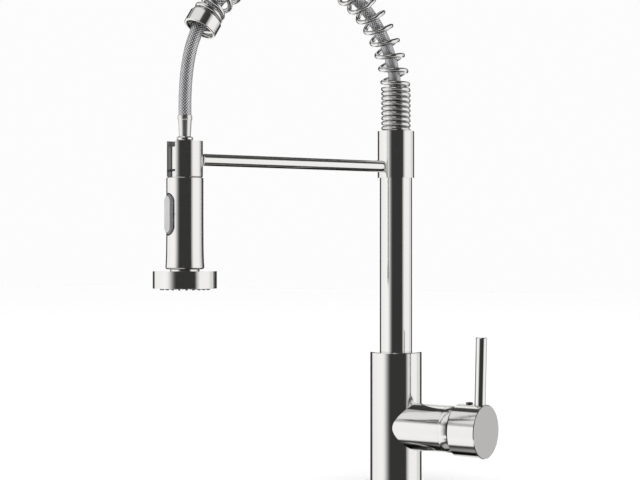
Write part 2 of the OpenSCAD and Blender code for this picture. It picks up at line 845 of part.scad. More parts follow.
module head_shell() color(steel_colour) on_head() difference() {
    rotate_extrude() shell_outline();
    rod(shell_base - through, shell_top - lip_t - neck_flange_h, shell_bore_r);
    rod(shell_base, shell_top - lip_t, neck_flange_r + joint_gap);
    rod(shell_base, shell_top + through, head_neck_r + joint_gap);
    button_slab(button_w + 2 * button_gap, button_h + 2 * button_gap, 0, head_flare_r + through);
    translate([pin_x, 0, button_z]) rotate([90, 0, 0])
        rod(-pin_half - free_gap, pin_half + free_gap, pin_r + joint_gap);
}

module head_neck() color(steel_colour) on_head() difference() {
    union() {
        rod(shell_top - lip_t - neck_flange_h, shell_top - lip_t - joint_gap, neck_flange_r);
        rod(shell_top - lip_t - through, neck_top - neck_chamfer, head_neck_r);
        cone(neck_top - neck_chamfer, neck_top, head_neck_r, head_neck_r - neck_chamfer);
        rod(neck_top - through, nipple_top, nut_bore_r - run_gap);
    }
    rod(shell_top - lip_t - neck_flange_h - through, valve_base - valve_rest, head_neck_r - neck_wall);
    rod(valve_base - valve_rest - through, valve_base + valve_h, valve_r + joint_gap);
    rod(valve_base, nipple_top + through, boss_bore_r);
    ring(neck_ring_z - neck_ring_r, neck_ring_z + neck_ring_r, head_neck_r + through, neck_groove_r);
}

module neck_o_ring() color(rubber_colour) on_head()
    o_ring(neck_ring_z, neck_groove_r + neck_ring_r, neck_ring_r - joint_gap);

module hose_washer() color(rubber_colour) on_head()
    ring(nipple_top, nipple_top + washer_t, sleeve_stem_r, boss_bore_r);

module check_valve() color(plastic_colour) on_head()
    ring(valve_base, valve_base + valve_h - joint_gap, valve_r, valve_bore_r);

module spray_chamber() color(plastic_colour) on_head() difference() {
    rod(chamber_low, chamber_high, chamber_out_r);
    rod(button_z, chamber_high + through, chamber_in_r);
    rod(chamber_low - through, button_z - chamber_air_top, chamber_air_r);
    rod(button_z - chamber_air_top - through, button_z + through, chamber_link_r);
    translate([0, 0, button_z - plunger_drop]) rotate([0, 90, 0])
        rod(-plunger_room, chamber_out_r + through, plunger_r + run_gap);
}

module diverter_plunger() color(brass_colour) on_head()
    translate([0, 0, button_z - plunger_drop]) rotate([0, 90, 0])
        rod(plunger_back, button_back_r - plunger_gap, plunger_r);

module toggle_button() color(steel_colour) on_head() difference() {
    union() {
        button_slab(button_w, button_h, button_back_r, button_edge_r);
        translate([button_edge_r, 0, button_z]) rotate([90, 0, 90]) {
            for (side = [-1, 1]) translate([0, side * (button_h - button_w) / 2, 0])
                cylinder(h = button_rise, r1 = button_w / 2, r2 = button_w / 2 - button_bevel);
            rotate([90, 0, 0]) linear_extrude(button_h - button_w, center = true)
                polygon([[-button_w / 2, 0], [button_w / 2, 0], [button_w / 2 - button_bevel, button_rise],
                    [button_bevel - button_w / 2, button_rise]]);
        }
        translate([boss_back, -boss_half_w, button_z - boss_half_h])
            cube([button_back_r - boss_back + through, 2 * boss_half_w, 2 * boss_half_h]);
    }
    translate([pin_x, 0, button_z]) rotate([90, 0, 0]) rod(-pin_half, pin_half, pin_r + run_gap);
}

module button_pin() color(steel_colour) on_head()
    translate([pin_x, 0, button_z]) rotate([90, 0, 0]) rod(-pin_half, pin_half, pin_r);

module spray_disc() color(steel_colour) on_head() difference() {
    union() {
        rod(disc_base, disc_top, disc_r);
        rod(disc_top - through, shell_base + through, disc_neck_r);
        rod(shell_base, shell_base + disc_spigot_h, shell_bore_r - joint_gap);
    }
    rod(disc_base - through, disc_top - disc_roof, disc_r - disc_wall);
    rod(disc_base, shell_base + disc_spigot_h + through, disc_bore_r);
}

module nozzle_plate() color(rubber_colour) on_head() difference() {
    union() {
        rod(nozzle_face, nozzle_face + nozzle_plate_t, disc_r - disc_wall - joint_gap);
        for (row = nozzle_rows, k = [0:row[1] - 1]) rotate([0, 0, 360 * k / row[1]]) translate([row[0], 0, 0])
            cone(nozzle_face - nozzle_drop, nozzle_face + through, nozzle_r[1], nozzle_r[0]);
    }
    rod(nozzle_face - nozzle_drop, nozzle_face + nozzle_plate_t + through, aerator_r + joint_gap);
}

module aerator() color(plastic_colour) on_head() difference() {
    rod(nozzle_face - joint_gap, disc_base + aerator_h, aerator_r);
    rod(disc_base, nozzle_face + aerator_rim, aerator_r - aerator_rim);
    for (turn = [0:60:300]) rotate([0, 0, turn]) translate([aerator_hole_at, 0, 0])
        rod(disc_base, disc_base + aerator_h + through, aerator_hole_r);
}

faucet_body();
base_flange();
base_gasket();
shank();
deck_washer();
clamp_washer();
mounting_nut();
nut_screws();
swivel_bushes();
spout_lock_screw();
cartridge_case();
cartridge_seals();
fixed_disc();
cartridge_nut();
trim_ring();
stem_carrier();
stem_pin();
moving_disc();
cartridge_stem();
handle_cap();
lever_rod();
handle_screw();
column_tube();
column_foot();
foot_o_rings();
column_collar();
collar_screw();
top_fitting();
spring_boss();
arm_rod();
dock_cup();
neck_spring();
pull_hose();
lower_ferrule();
spring_end_cap();
crimp_sleeve();
hose_nut();
head_shell();
head_neck();
neck_o_ring();
hose_washer();
check_valve();
spray_chamber();
diverter_plunger();
toggle_button();
button_pin();
spray_disc();
nozzle_plate();
aerator();
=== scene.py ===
"""Looks of the pull-down kitchen faucet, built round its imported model. Metres throughout."""

import json
import math

import bpy
from mathutils import Matrix, Vector


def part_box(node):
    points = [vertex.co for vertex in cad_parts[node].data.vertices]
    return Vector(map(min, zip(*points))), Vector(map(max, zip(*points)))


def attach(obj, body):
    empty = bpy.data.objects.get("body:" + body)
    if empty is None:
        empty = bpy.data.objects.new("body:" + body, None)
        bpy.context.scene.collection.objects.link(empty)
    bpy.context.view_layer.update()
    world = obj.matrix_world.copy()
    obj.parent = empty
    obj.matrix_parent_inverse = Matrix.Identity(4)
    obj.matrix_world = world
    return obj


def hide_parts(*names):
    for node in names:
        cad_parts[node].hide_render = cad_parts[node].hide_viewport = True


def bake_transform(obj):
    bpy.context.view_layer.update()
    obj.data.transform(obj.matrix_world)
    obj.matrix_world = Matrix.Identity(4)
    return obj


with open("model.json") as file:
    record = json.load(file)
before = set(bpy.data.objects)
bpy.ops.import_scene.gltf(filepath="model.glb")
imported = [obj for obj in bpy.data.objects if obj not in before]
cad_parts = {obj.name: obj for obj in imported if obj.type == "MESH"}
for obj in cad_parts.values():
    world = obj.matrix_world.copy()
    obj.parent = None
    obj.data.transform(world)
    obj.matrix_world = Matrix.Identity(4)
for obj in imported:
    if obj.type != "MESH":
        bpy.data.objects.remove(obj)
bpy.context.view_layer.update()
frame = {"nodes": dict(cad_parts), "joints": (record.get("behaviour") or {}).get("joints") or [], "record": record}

# ---- Where things are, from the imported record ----

joints = {joint["name"]: joint for joint in frame["joints"]}
HEAD_AXIS = Vector(joints["head_turn"]["pos_m"][:2] + [0])
REACH = HEAD_AXIS.length
ARM = HEAD_AXIS.normalized()
ACROSS = Vector((-ARM.y, ARM.x, 0))
ARM_TURN = math.atan2(ARM.y, ARM.x)
COLLAR_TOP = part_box("column_collar")[1].z
SLEEVE_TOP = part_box("crimp_sleeve")[1].z


def on_spout(along, height, across=0.0):
    """Point in the spout's upright plane: metres along the docking arm, height, metres across."""
    return Vector((ARM * along) + (ACROSS * across) + Vector((0, 0, height)))


# ---- Camera ----

CAMERA_AT = Vector((0.7596, -1.2443, 0.2285))
CAMERA_LOOKS = Vector((-0.5635, 0.8261, 0))
LENS_MM = 84.375
FRAME_MM = 36
LENS_SHIFT = 0.0156


def make_camera():
    """Level camera at the height of the spray head, with its lens shifted."""
    data = bpy.data.cameras.new("camera")
    data.lens = LENS_MM
    data.sensor_width = FRAME_MM
    data.shift_y = LENS_SHIFT
    camera = bpy.data.objects.new("camera", data)
    camera.location = CAMERA_AT
    camera.rotation_euler = CAMERA_LOOKS.to_track_quat("-Z", "Y").to_euler()
    bpy.context.collection.objects.link(camera)
    bpy.context.scene.camera = camera


make_camera()

# ---- Materials ----


def linear(colour):
    """sRGB hex value to linear red, green, blue and alpha."""
    parts = [int(colour[i:i + 2], 16) / 255 for i in (1, 3, 5)]
    return [p / 12.92 if p <= 0.04045 else ((p + 0.055) / 1.055) ** 2.4 for p in parts] + [1.0]


def add(tree, kind, settings=(), links=()):
    """Adds one node, with its settings by property or input name and its links by input name."""
    node = tree.nodes.new(kind)
    for name, value in dict(settings).items():
        if isinstance(name, str) and hasattr(node, name):
            setattr(node, name, value)
        else:
            node.inputs[name].default_value = value
    for name, source in dict(links).items():
        tree.links.new(source, node.inputs[name])
    return node


def start_material(name, settings):
    """A new material, its node tree and its Principled surface node."""
    material = bpy.data.materials.new(name)
    material.use_nodes = True
    tree = material.node_tree
    tree.nodes.clear()
    surface = add(tree, "ShaderNodeBsdfPrincipled", settings)
    add(tree, "ShaderNodeOutputMaterial", {}, {"Surface": surface.outputs[0]})
    return material, tree, surface


def set_ramp(node, stops):
    """Fills a colour ramp with (position, grey or colour) stops."""
    ramp = node.color_ramp
    while len(ramp.elements) < len(stops):
        ramp.elements.new(1)
    for element, (at, value) in zip(ramp.elements, stops):
        element.position = at
        element.color = value if hasattr(value, "__len__") else (value, value, value, 1)


# Brush lines about 0.4 mm apart, coarse enough to show, and about 16 mm long
BRUSH = 2600
ALONG = 60
# Wiped patches about 50 mm wide and 110 mm tall, and how far each changes the roughness
HAND_SMEARS = (18, 18, 9)
SMEAR_SPREAD = 0.05
BRUSH_SPREAD = 0.035


def scaled_noise(tree, scale, turn=(0, 0, 0), detail=2.0):
    """Noise on Object coordinates, stretched by a scale for each axis in marks per metre."""
    place = add(tree, "ShaderNodeTexCoord")
    spread = add(tree, "ShaderNodeMapping", {"Scale": scale, "Rotation": turn},
                 {"Vector": place.outputs["Object"]})
    return add(tree, "ShaderNodeTexNoise", {"Scale": 1.0, "Detail": detail, "Roughness": 0.6},
               {"Vector": spread.outputs[0]})


def brushed_metal(name, colour, rough, scale, turn=(0, 0, 0), depth=0.02):
    """Metal with fine brush lines: the lines change its roughness and lift its surface slightly."""
    material, tree, surface = start_material(name, {"Base Color": linear(colour), "Metallic": 1.0})
    lines = scaled_noise(tree, scale, turn)
    brushed = add(tree, "ShaderNodeMapRange",
                  {"From Min": 0.3, "From Max": 0.7,
                   "To Min": rough - BRUSH_SPREAD, "To Max": rough + BRUSH_SPREAD},
                  {"Value": lines.outputs["Fac"]})
    smears = scaled_noise(tree, HAND_SMEARS, (0, 0, 0), 3.0)
    handled = add(tree, "ShaderNodeMath",
                  {"operation": "MULTIPLY_ADD", 1: SMEAR_SPREAD, 2: -SMEAR_SPREAD / 2},
                  {0: smears.outputs["Fac"]})
    both = add(tree, "ShaderNodeMath", {"operation": "ADD"},
               {0: brushed.outputs[0], 1: handled.outputs[0]})
    bump = add(tree, "ShaderNodeBump", {"Strength": depth, "Distance": 0.0004},
               {"Height": lines.outputs["Fac"]})
    tree.links.new(both.outputs[0], surface.inputs["Roughness"])
    tree.links.new(bump.outputs[0], surface.inputs["Normal"])
    return material


STEEL = "#CFCECC"

# Stainless steel, turned, finely brushed round each piece, then buffed: clear bands, soft edges
steel_upright = brushed_metal("brushed_stainless_upright", STEEL, 0.10, (ALONG, ALONG, BRUSH))
# The same steel on the handle and its ring, whose brush lines run round a level axis
steel_branch = brushed_metal("brushed_stainless_branch", STEEL, 0.10, (BRUSH, ALONG, ALONG))
# The same steel on the docking arm, whose brush lines run round the arm
steel_arm = brushed_metal("brushed_stainless_arm", STEEL, 0.10, (BRUSH, ALONG, ALONG),
                          (0, 0, -ARM_TURN))
# The same steel, ground flat across the end of the handle: an even grey, its base colour darkened as painted shade
steel_face_painted_shade = brushed_metal("ground_stainless_face_painted_shade", "#AFAEAD", 0.30, (400, 400, 400), depth=0.01)
# Stainless steel crimp, satin from its rolling: wide soft bands
steel_satin = brushed_metal("rolled_stainless_satin", STEEL, 0.3, (ALONG, ALONG, 1800))
# Milled slot faces, left as cut: duller than the polished outside, and painted darker as shade, there and in the
# groove at the cup's foot
milled_shaded_steel = brushed_metal("milled_stainless_painted_shade", "#A3A2A4", 0.38, (900, 900, 900), depth=0.03)
# Zinc-plated steel fasteners: duller and greyer than the trim
plated = brushed_metal("plated_steel", "#A9A8A4", 0.28, (1500, 1500, 1500), depth=0.04)
# Turned brass, uncoated: warm, with turning marks
brass = brushed_metal("turned_brass", "#C9A25B", 0.24, (ALONG, ALONG, 1800), depth=0.05)


def make_wire():
    """Stainless spring wire, drawn through a die: bright, with faint lines along it."""
    material, tree, surface = start_material("drawn_spring_wire",
                                             {"Base Color": linear("#CBCAC9"), "Metallic": 1.0})
    place = add(tree, "ShaderNodeUVMap", {"uv_map": "UVMap"})
    spread = add(tree, "ShaderNodeMapping", {"Scale": (30, 40, 1)}, {"Vector": place.outputs[0]})
    lines = add(tree, "ShaderNodeTexNoise", {"Scale": 1.0, "Detail": 3.0},
                {"Vector": spread.outputs[0]})
    rough = add(tree, "ShaderNodeMapRange", {"To Min": 0.07, "To Max": 0.17},
                {"Value": lines.outputs["Fac"]})
    bump = add(tree, "ShaderNodeBump", {"Strength": 0.03, "Distance": 0.0003},
               {"Height": lines.outputs["Fac"]})
    tree.links.new(rough.outputs[0], surface.inputs["Roughness"])
    tree.links.new(bump.outputs[0], surface.inputs["Normal"])
    return material


# 14 strands each way round a 36 mm girth, laid at about 45 degrees, so 385 cross each metre
STRANDS_ROUND = 14.0
STRANDS_PER_METRE = 385.0


def make_braid():
    """Metallised nylon braid over the hose: flat strands crossing on the slant, silver-grey, with painted shade
    between the strands and a painted highlight on their crowns.
    """
    material, tree, surface = start_material("metallised_nylon_braid",
                                             {"Roughness": 0.42, "Metallic": 0.75})
    place = add(tree, "ShaderNodeUVMap", {"uv_map": "UVMap"})
    split = add(tree, "ShaderNodeSeparateXYZ", {}, {"Vector": place.outputs[0]})
    waves = []
    for slant in (1, -1):
        along = add(tree, "ShaderNodeMath", {"operation": "MULTIPLY", 1: STRANDS_PER_METRE},
                    {0: split.outputs["Y"]})
        phase = add(tree, "ShaderNodeMath",
                    {"operation": "MULTIPLY_ADD", 1: STRANDS_ROUND * slant},
                    {0: split.outputs["X"], 2: along.outputs[0]})
        waves.append(add(tree, "ShaderNodeMath", {"operation": "PINGPONG", 1: 0.5},
                         {0: phase.outputs[0]}))
    over = add(tree, "ShaderNodeMath", {"operation": "MULTIPLY"},
               {0: waves[0].outputs[0], 1: waves[1].outputs[0]})
    height = add(tree, "ShaderNodeMapRange", {"From Max": 0.25}, {"Value": over.outputs[0]})
    # Colour by strand height: painted shade in the dips, painted highlight on the crowns
    tint = add(tree, "ShaderNodeValToRGB", {}, {"Fac": height.outputs[0]})
    set_ramp(tint, [(0.0, linear("#48474A")), (0.22, linear("#B6B5B7")), (0.7, linear("#F8F7F9"))])
    bump = add(tree, "ShaderNodeBump", {"Strength": 0.45, "Distance": 0.0004},
               {"Height": height.outputs[0]})
    tree.links.new(tint.outputs[0], surface.inputs["Base Color"])
    tree.links.new(bump.outputs[0], surface.inputs["Normal"])
    return material


def moulded(name, colour, rough, grain, metallic=0.0, depth=0.05):
    """Moulded or fired material: a faint colour and roughness change over a fine surface grain."""
    material, tree, surface = start_material(name, {"Metallic": metallic})
    speckle = scaled_noise(tree, (grain,) * 3)
    cloud = scaled_noise(tree, (40,) * 3)
    dark = [c * 0.9 for c in linear(colour)[:3]] + [1.0]
    tint = add(tree, "ShaderNodeValToRGB", {}, {"Fac": cloud.outputs["Fac"]})
    set_ramp(tint, [(0.3, dark), (0.7, linear(colour))])
    rough_range = add(tree, "ShaderNodeMapRange", {"To Min": rough - 0.05, "To Max": rough + 0.05},
                      {"Value": speckle.outputs["Fac"]})
    bump = add(tree, "ShaderNodeBump", {"Strength": depth, "Distance": 0.0002},
               {"Height": speckle.outputs["Fac"]})
    tree.links.new(tint.outputs[0], surface.inputs["Base Color"])
    tree.links.new(rough_range.outputs[0], surface.inputs["Roughness"])
    tree.links.new(bump.outputs[0], surface.inputs["Normal"])
    return material


wire_steel = make_wire()
braid = make_braid()
# Nitrile and silicone rubber: near black, slightly rough
rubber = moulded("moulded_rubber", "#2A2A2B", 0.55, 3000)
# Acetal, moulded: off-white with a waxy shine
acetal = moulded("moulded_acetal", "#E4E1DA", 0.35, 2000)
# Alumina discs, ground and lapped: dense white
alumina = moulded("lapped_alumina", "#EDEBE4", 0.2, 2600, depth=0.02)
# Zinc casting with a satin nickel plating: softer and flatter in shine than the steel round it
satin_zinc = moulded("satin_plated_zinc", "#C4C3C4", 0.42, 2400, metallic=0.75, depth=0.03)
# The toggle's sides: the same plating, painted darker as shade from the pocket
satin_zinc_painted_shade = moulded("satin_plated_zinc_painted_shade", "#858386", 0.5, 2400, metallic=0.6, depth=0.04)
# Black-oxide steel of the grub screw: dark with a sharp shine
black_oxide = brushed_metal("black_oxide_steel", "#5A5958", 0.2, (1500, 1500, 1500), depth=0.03)

SLOT_MATERIALS = {
    "brushed_steel": steel_upright, "spring_steel": wire_steel, "satin_button": satin_zinc,
    "fastener_steel": plated, "brass": brass, "black_rubber": rubber, "white_acetal": acetal,
    "ceramic": alumina, "braided_hose": braid}
node_slots = {part["node"]: part["material_slot"] for part in frame["record"]["subparts"]}
node_bodies = {node: body for body, nodes in frame["record"]["behaviour"]["bodies"].items()
               for node in nodes}


def paint(piece, material):
    """Gives a piece one material."""
    piece.data.materials.clear()
    piece.data.materials.append(material)


for node, cad in frame["nodes"].items():
    if len(cad.material_slots) == 0:
        cad.data.materials.append(SLOT_MATERIALS[node_slots[node]])
    for slot in cad.material_slots:
        slot.material = SLOT_MATERIALS[node_slots[node]]

# ---- Cords and the spring ----

ARCH_R = 0.113
ARCH_Z = COLLAR_TOP + 0.033
CAP_ANGLE = math.radians(31.7)
ARCH_END = ARCH_Z - COLLAR_TOP + ARCH_R * (math.pi - CAP_ANGLE)


def arch(s):
    """Point along, height and slope of the arch's centreline, s metres above the collar."""
    if s < ARCH_Z - COLLAR_TOP:
        return 0.0, COLLAR_TOP + s, math.pi / 2
    if s < ARCH_END:
        a = math.pi - (s - ARCH_Z + COLLAR_TOP) / ARCH_R
        return ARCH_R + ARCH_R * math.cos(a), ARCH_Z + ARCH_R * math.sin(a), a - math.pi / 2
    d = s - ARCH_END
    return (ARCH_R + ARCH_R * math.cos(CAP_ANGLE) + d * math.sin(CAP_ANGLE),
            ARCH_Z + ARCH_R * math.sin(CAP_ANGLE) - d * math.cos(CAP_ANGLE),
            CAP_ANGLE - math.pi / 2)


def sweep(name, line, radius, sides):
    """Round bar along a line, with closed ends and a UV map: round it, and along it in metres."""
    points = [Vector(p) for p in line]
    last = len(points) - 1
    ways = [(points[min(i + 1, last)] - points[max(i - 1, 0)]).normalized()
            for i in range(last + 1)]
    side = ways[0].orthogonal().normalized()
    vertices, lengths, run = [], [], 0.0
    for i, (point, way) in enumerate(zip(points, ways)):
        side = (side - way * side.dot(way)).normalized()
        up = way.cross(side)
        run += (point - points[i - 1]).length if i else 0.0
        lengths.append(run)
        for k in range(sides):
            a = 2 * math.pi * k / sides
            vertices.append(point + (side * math.cos(a) + up * math.sin(a)) * radius)
    faces = [(i * sides + k, i * sides + (k + 1) % sides,
              (i + 1) * sides + (k + 1) % sides, (i + 1) * sides + k)
             for i in range(last) for k in range(sides)]
    faces.append(tuple(reversed(range(sides))))
    faces.append(tuple(last * sides + k for k in range(sides)))
    mesh = bpy.data.meshes.new(name)
    mesh.from_pydata(vertices, [], faces)
    uv = mesh.uv_layers.new(name="UVMap")
    for face in mesh.polygons:
        if len(face.vertices) != 4 or face.index >= last * sides:
            continue
        i, k = divmod(face.index, sides)
        corners = [(k, i), (k + 1, i), (k + 1, i + 1), (k, i + 1)]
        for loop, (round_it, along) in zip(face.loop_indices, corners):
            uv.data[loop].uv = (round_it / sides, lengths[along])
    mesh.polygons.foreach_set("use_smooth", [len(f.vertices) == 4 for f in mesh.polygons])
    piece = bpy.data.objects.new(name, mesh)
    bpy.context.collection.objects.link(piece)
    return piece


def smooth_line(points, per_span):
    """Catmull-Rom curve through points."""
    line = []
    ends = [points[0] * 2 - points[1], *points, points[-1] * 2 - points[-2]]
    for i in range(1, len(ends) - 2):
        a, b, c, d = ends[i - 1:i + 3]
        for k in range(per_span):
            t = k / per_span
            line.append((b * 2 + (c - a) * t + (a * 2 - b * 5 + c * 4 - d) * t * t
                         + (b * 3 - a - c * 3 + d) * t ** 3) / 2)
    return line + [points[-1]]


HOSE_R = 0.0057
ARCH_STEP = math.radians(12)
LEAVE_ANGLE = CAP_ANGLE + math.radians(4)
# The free stretch: mm past the head's axis and mm above the crimp sleeve
HOSE_FREE = [(-13, 78), (-9.4, 70), (-6.2, 61), (-3.6, 50), (-1.7, 38), (-0.5, 25), (0, 12),
             (0, -4)]


def hose_route():
    """Points from the hose's stem in the column, over the arch and down to the spray head."""
    turns = [math.pi - ARCH_STEP * k for k in range(1, 12)] + [LEAVE_ANGLE]
    points = [on_spout(0, ARCH_Z - 0.011), on_spout(0, ARCH_Z)]
    points += [on_spout(ARCH_R + ARCH_R * math.cos(a), ARCH_Z + ARCH_R * math.sin(a))
               for a in turns]
    points += [on_spout(REACH + along / 1000, SLEEVE_TOP + up / 1000) for along, up in HOSE_FREE]
    return smooth_line(points, 6)


route = hose_route()
hose = sweep("braided_hose", route, HOSE_R, 32)
paint(hose, braid)
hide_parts("pull_hose")

SPRING_D, WIRE_D = 0.0287, 0.0045
CLOSE_TURNS, OPEN_TURNS, END_TURNS = 9.3, 19, 4
CLOSE_PITCH = WIRE_D + 0.00033
# Turns over which the pitch grows from close to open
OPENING = 0.8
COIL_PHASE = math.radians(320)
COIL_STEPS = 40
# Share of a close turn that is ground away where the spring stands on the collar
GROUND_TURN = 0.8
COLLAR_GAP = 0.00005
END_CAP_HEIGHT, END_CAP_LIP, LIP_GAP = 0.012, 0.0015, 0.0004


def coil_line():
    """Centreline of the spring's wire: a left-hand coil round the arch, close, open, then close."""
    start = WIRE_D / 2 + COLLAR_GAP - GROUND_TURN * CLOSE_PITCH
    end = ARCH_END + END_CAP_HEIGHT - END_CAP_LIP - WIRE_D / 2 - LIP_GAP
    turns = CLOSE_TURNS + OPEN_TURNS + END_TURNS

    def ramp(u):
        return 0 if u <= 0 else u * u / (2 * OPENING) if u < OPENING else u - OPENING / 2

    def spread(n):
        return ramp(n - CLOSE_TURNS) - ramp(n - CLOSE_TURNS - OPEN_TURNS)

    extra = (end - start - CLOSE_PITCH * turns) / spread(turns)
    line = []
    for k in range(round(turns * COIL_STEPS) + 1):
        n = k / COIL_STEPS
        along, height, slope = arch(start + CLOSE_PITCH * n + extra * spread(n))
        turn = COIL_PHASE - 2 * math.pi * n
        out = (SPRING_D - WIRE_D) / 2
        line.append(on_spout(along + out * math.cos(turn) * math.sin(slope),
                             height - out * math.cos(turn) * math.cos(slope),
                             out * math.sin(turn)))
    return line


spring = sweep("coil_spring", coil_line(), WIRE_D / 2, 16)
for vertex in spring.data.vertices:
    # The first turn is ground flat where it stands on the collar
    vertex.co.z = max(vertex.co.z, COLLAR_TOP + COLLAR_GAP)
paint(spring, wire_steel)
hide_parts("neck_spring")

# ---- Visible shells ----


def deselect():
    """Clears the selection, so that the next operator works on its own piece alone."""
    bpy.ops.object.select_all(action="DESELECT")


def select_only(piece):
    """Makes one piece the selected and active one."""
    deselect()
    piece.select_set(True)
    bpy.context.view_layer.objects.active = piece


def put(piece, matrix):
    """Moves a piece's mesh by a matrix and leaves its object at the origin."""
    select_only(piece)
    piece.matrix_world = matrix @ piece.matrix_world
    bpy.ops.object.transform_apply(location=True, rotation=True, scale=True)
    return piece


def turned(name, profile, sides=192, hollow=False):
    """Piece turned about +Z from (radius, height) points in mm, low end first, with closed ends.

    A hollow profile runs round the wall and back to its first point."""
    deselect()
    radius, low = profile[0]
    bpy.ops.mesh.primitive_circle_add(vertices=sides, radius=radius / 1000,
                                      location=(0, 0, low / 1000),
                                      fill_type="NOTHING" if hollow else "NGON")
    piece = bpy.context.object
    piece.name = name
    piece.data.name = name
    bpy.ops.object.mode_set(mode="EDIT")
    bpy.ops.mesh.select_all(action="SELECT")
    for (r_a, z_a), (r_b, z_b) in zip(profile, profile[1:] + (profile[:1] if hollow else [])):
        bpy.ops.mesh.extrude_region_move(
            TRANSFORM_OT_translate={"value": (0, 0, (z_b - z_a) / 1000)})
        if r_a != r_b:
            bpy.ops.transform.resize(value=(r_b / r_a, r_b / r_a, 1),
                                     center_override=(0, 0, z_b / 1000))
    bpy.ops.mesh.select_all(action="SELECT")
    bpy.ops.mesh.remove_doubles(threshold=0.000002)
    bpy.ops.mesh.normals_make_consistent(inside=False)
    bpy.ops.object.mode_set(mode="OBJECT")
    return put(piece, Matrix.Identity(4))


def join_or_cut(piece, tool, how="DIFFERENCE"):
    """Cuts a piece by a second one, or joins them into one skin, and drops the second."""
    select_only(piece)
    change = piece.modifiers.new("change", "BOOLEAN")
    change.operation = how
    change.solver = "EXACT"
    change.object = tool
    bpy.ops.object.modifier_apply(modifier="change")
    bpy.data.objects.remove(tool)
    return piece


def arc(centre, radius, start, end, steps):
    """Profile points on an arc, angles in degrees from the radius direction towards +Z."""
    turns = [math.radians(start + (end - start) * k / steps) for k in range(steps + 1)]
    return [(centre[0] + radius * math.cos(a), centre[1] + radius * math.sin(a)) for a in turns]


def finish(piece, node, material, edge=0.2, keep_angle=32, segments=2):
    """Eases a piece's sharp edges (mm), evens its shading and puts it in a CAD node's place."""
    select_only(piece)
    if edge:
        bevel = piece.modifiers.new("edge", "BEVEL")
        bevel.width = edge / 1000
        bevel.segments = segments
        bevel.limit_method = "ANGLE"
        bevel.angle_limit = math.radians(keep_angle)
        bpy.ops.object.modifier_apply(modifier="edge")
    bpy.ops.object.shade_smooth_by_angle(angle=math.radians(keep_angle))
    even = piece.modifiers.new("even", "WEIGHTED_NORMAL")
    even.mode = "FACE_AREA_WITH_ANGLE"
    even.keep_sharp = True
    bpy.ops.object.modifier_apply(modifier="even")
    if len(piece.data.materials) == 0:
        paint(piece, material)
    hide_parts(node)
    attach(piece, node_bodies[node])
    return piece


def eased_copy(node, name):
    """Copy of a CAD node with its triangles merged into clean faces."""
    piece = frame["nodes"][node].copy()
    piece.data = frame["nodes"][node].data.copy()
    piece.name = name
    piece.data.name = name
    piece.parent = None
    for key in list(piece.keys()):
        del piece[key]
    bpy.context.collection.objects.link(piece)
    select_only(piece)
    piece.data.materials.clear()
    bpy.ops.mesh.customdata_custom_splitnormals_clear()
    bpy.ops.object.mode_set(mode="EDIT")
    bpy.ops.mesh.select_all(action="SELECT")
    bpy.ops.mesh.remove_doubles(threshold=0.000002)
    bpy.ops.mesh.dissolve_limited(angle_limit=math.radians(0.4))
    bpy.ops.object.mode_set(mode="OBJECT")
    return piece


def select_where(piece, kind, chosen):
    """Leaves a piece in edit mode with only the chosen vertices or faces selected."""
    bpy.ops.object.mode_set(mode="EDIT")
    bpy.ops.mesh.select_mode(type=kind)
    bpy.ops.mesh.select_all(action="DESELECT")
    bpy.ops.object.mode_set(mode="OBJECT")
    parts = piece.data.vertices if kind == "VERT" else piece.data.polygons
    for part in parts:
        part.select = chosen(part)
    bpy.ops.object.mode_set(mode="EDIT")


def second_finish(piece, first, second, chosen):
    """Gives a piece two materials: the second on the faces that a test picks."""
    paint(piece, first)
    piece.data.materials.append(second)
    for face in piece.data.polygons:
        if chosen(face):
            face.material_index = 1


BRANCH_Z = 0.0585
GRUB_X = 0.0809
LEVER_X, LEVER_LEAN = 0.0915, math.radians(1.4)
COLLAR_SCREW_Z = 0.3062
BRANCH = Matrix.Translation((0, 0, BRANCH_Z)) @ Matrix.Rotation(math.pi / 2, 4, "Y")
SPOUT = Matrix.Rotation(ARM_TURN, 4, "Z")
HEAD = SPOUT @ Matrix.Translation((REACH, 0, 0))
ARM_Z = 0.309
ARM_LINE = Matrix.Translation((0, 0, ARM_Z)) @ Matrix.Rotation(math.pi / 2, 4, "Y")
SLOT_WIDTH = 0.016
# The cup's ends and the groove at its foot, in mm like every turned profile
CUP_BASE, CUP_TOP = 293.0, 325.0
GROOVE = 0.6


def body_shell():
    """Upright body with the side branch in one skin, bored for the column and the cartridge."""
    body = turned("body_shell", [(25, 3.03), (25, 129.4), (24.4, 130)], 224)
    branch = put(turned("branch", [(22.9, 8), (22.9, 59.4)], 224), BRANCH)
    join_or_cut(body, branch, "UNION")
    join_or_cut(body, turned("column_bore", [(15.85, 96), (15.85, 131)], 96))
    join_or_cut(body, turned("shank_bore", [(16.53, 2), (16.53, 20)], 96))
    join_or_cut(body, put(turned("nut_bore", [(19.83, 54), (19.83, 61)], 96), BRANCH))
    join_or_cut(body, put(turned("case_bore", [(17.53, 30), (17.53, 54.5)], 96), BRANCH))
    finish(body, "faucet_body", steel_upright, 0.1, keep_angle=14)


def flange_ring():
    """Foot ring: a low plate with a rounded upper edge, recessed for the body and the gasket."""
    round_edge = arc((27, 4), 1.5, 0, 90, 8)
    ring = turned("flange_ring", [(24.53, 0), (28.5, 0)] + round_edge
                  + [(25.03, 5.5), (25.03, 3), (16.53, 3), (16.53, 0), (19.47, 0), (19.47, 1.5),
                     (24.53, 1.5)], hollow=True)
    finish(ring, "base_flange", steel_upright, 0)


def domed_ring():
    """Cap ring over the cartridge: a slice of a ball between the branch and the handle."""
    outer = arc((0, 62), 23.05, -6.4, 15.6, 10)
    inner = arc((0, 62), 21.05, 17.1, -7.0, 8)
    ring = put(turned("domed_ring", outer + inner, hollow=True), BRANCH)
    finish(ring, "trim_ring", steel_branch, 0.12)


